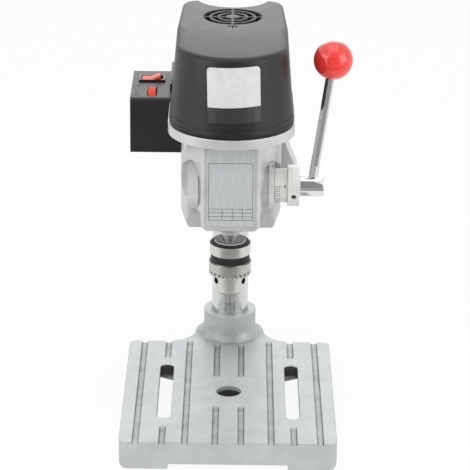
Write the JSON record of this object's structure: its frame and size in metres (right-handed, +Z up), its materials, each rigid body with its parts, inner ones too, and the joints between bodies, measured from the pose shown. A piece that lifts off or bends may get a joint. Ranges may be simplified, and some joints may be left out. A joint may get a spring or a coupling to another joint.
{
  "type": "benchtop drill press",
  "caption": "Benchtop drill press: slotted cast base, round column, hand-fed quill with keyed chuck, belt drive under a tapered cover, switch box and red ball lever.",
  "frame": {"origin": "on the floor plane under the base, on the spindle axis and the table hole's centre", "axes": "+Z up, -Y towards the operator and the front of the base, +X to the operator's right, where the feed lever is"},
  "size_m": [0.174, 0.2489, 0.309],
  "materials": {
    "base_paint": "satin",
    "head_paint": "satin",
    "bright": "polished",
    "steel": "satin",
    "dial": "satin",
    "plate": "satin",
    "pulley": "satin",
    "black_plastic": "satin",
    "red_plastic": "gloss",
    "copper": "satin",
    "carbon": "matte",
    "belt": "matte",
    "board": "satin"
  },
  "bodies": {
    "base": {"base": "base_paint", "column_set_screw": "steel"},
    "column": {"column": "bright", "column_cap": "black_plastic"},
    "head": {"head_casting": "head_paint", "front_plate": "plate", "clamp_bolts": "steel", "feed_bush": "head_paint", "spring_cap": "head_paint", "return_spring": "steel", "cover_post": "steel", "pulley_bearing": "steel", "belt": "belt", "motor_end_cap": "head_paint", "motor_bearing_lower": "steel", "motor_bearing_upper": "steel", "stator": "steel", "field_coils": "copper", "brush_holders": "copper", "brushes": "carbon", "brush_springs": "steel", "brush_caps": "black_plastic", "switch_box": "black_plastic", "switch_box_lid": "black_plastic", "switch_box_screws": "steel", "switch_housing": "black_plastic", "speed_control": "board", "cable_gland": "black_plastic"},
    "cover": {"belt_cover": "black_plastic", "cover_screw": "steel"},
    "rocker": {"rocker": "red_plastic"},
    "speed_wheel": {"speed_wheel": "red_plastic"},
    "rotor": {"motor_shaft": "steel", "armature": "steel", "commutator": "copper", "fan": "black_plastic", "motor_pulley": "pulley"},
    "spindle_pulley": {"spindle_pulley": "pulley"},
    "quill": {"quill": "bright", "quill_bearing_lower": "steel", "quill_bearing_upper": "steel"},
    "spindle": {"spindle": "steel", "chuck_body": "bright"},
    "chuck_sleeve": {"chuck_sleeve": "steel"},
    "jaw_front": {"jaw_front": "steel"},
    "jaw_right": {"jaw_right": "steel"},
    "jaw_left": {"jaw_left": "steel"},
    "feed": {"feed_shaft": "steel", "feed_hub": "bright", "feed_lever": "bright", "lever_ball": "red_plastic"},
    "depth_stop": {"depth_dial": "dial", "stop_collar": "steel", "stop_screw": "steel"}
  },
  "joints": [
    {"name": "column_swing", "type": "hinge", "parent": "base", "child": "column", "pos_m": [0, 0.12, 0.04], "axis": [0, 0, 1], "range_deg": [-90, 90]},
    {"name": "head_slide", "type": "slide", "parent": "column", "child": "head", "axis": [0, 0, 1], "range_m": [-0.04, 0.035]},
    {"name": "cover_lift", "type": "slide", "parent": "head", "child": "cover", "axis": [0, 0, 1], "range_m": [0, 0.075]},
    {"name": "rocker_press", "type": "hinge", "parent": "head", "child": "rocker", "pos_m": [-0.0636, 0.099, 0.247], "axis": [0, 1, 0], "range_deg": [0, 22]},
    {"name": "speed_turn", "type": "hinge", "parent": "head", "child": "speed_wheel", "pos_m": [-0.0624, 0.0665, 0.2375], "axis": [1, 0, 0], "range_deg": [0, 270]},
    {"name": "rotor_spin", "type": "hinge", "parent": "head", "child": "rotor", "pos_m": [0, 0.066, 0.2], "axis": [0, 0, 1], "continuous": true},
    {"name": "pulley_spin", "type": "hinge", "parent": "head", "child": "spindle_pulley", "pos_m": [0, 0, 0.25], "axis": [0, 0, 1], "continuous": true},
    {"name": "feed_turn", "type": "hinge", "parent": "head", "child": "feed", "pos_m": [0, 0.021, 0.188], "axis": [1, 0, 0], "range_deg": [0, 190.99], "stiffness_Nm_per_rad": 0.06, "springref_deg": -171.89},
    {"name": "quill_feed", "type": "slide", "parent": "head", "child": "quill", "axis": [0, 0, -1], "range_m": [0, 0.025]},
    {"name": "spindle_spin", "type": "hinge", "parent": "quill", "child": "spindle", "pos_m": [0, 0, 0.2], "axis": [0, 0, 1], "continuous": true},
    {"name": "chuck_turn", "type": "hinge", "parent": "spindle", "child": "chuck_sleeve", "pos_m": [0, 0, 0.13], "axis": [0, 0, 1], "range_deg": [0, 1080]},
    {"name": "jaw_front_slide", "type": "slide", "parent": "spindle", "child": "jaw_front", "axis": [0, -0.2079, 0.9781], "range_m": [0, 0.013]},
    {"name": "jaw_right_slide", "type": "slide", "parent": "spindle", "child": "jaw_right", "axis": [0.1801, 0.104, 0.9781], "range_m": [0, 0.013]},
    {"name": "jaw_left_slide", "type": "slide", "parent": "spindle", "child": "jaw_left", "axis": [-0.1801, 0.104, 0.9781], "range_m": [0, 0.013]},
    {"name": "depth_set", "type": "hinge", "parent": "feed", "child": "depth_stop", "pos_m": [0.04, 0.021, 0.188], "axis": [1, 0, 0], "range_deg": [-170, 170]}
  ],
  "couplings": [
    {"joint": "pulley_spin", "follows": "rotor_spin", "ratio": 0.54546},
    {"joint": "spindle_spin", "follows": "rotor_spin", "ratio": 0.54546},
    {"joint": "quill_feed", "follows": "feed_turn", "m_per_rad": 0.0075},
    {"joint": "chuck_turn", "follows": "jaw_front_slide", "rad_per_m": 1450},
    {"joint": "jaw_right_slide", "follows": "jaw_front_slide", "ratio": 1},
    {"joint": "jaw_left_slide", "follows": "jaw_front_slide", "ratio": 1}
  ]
}
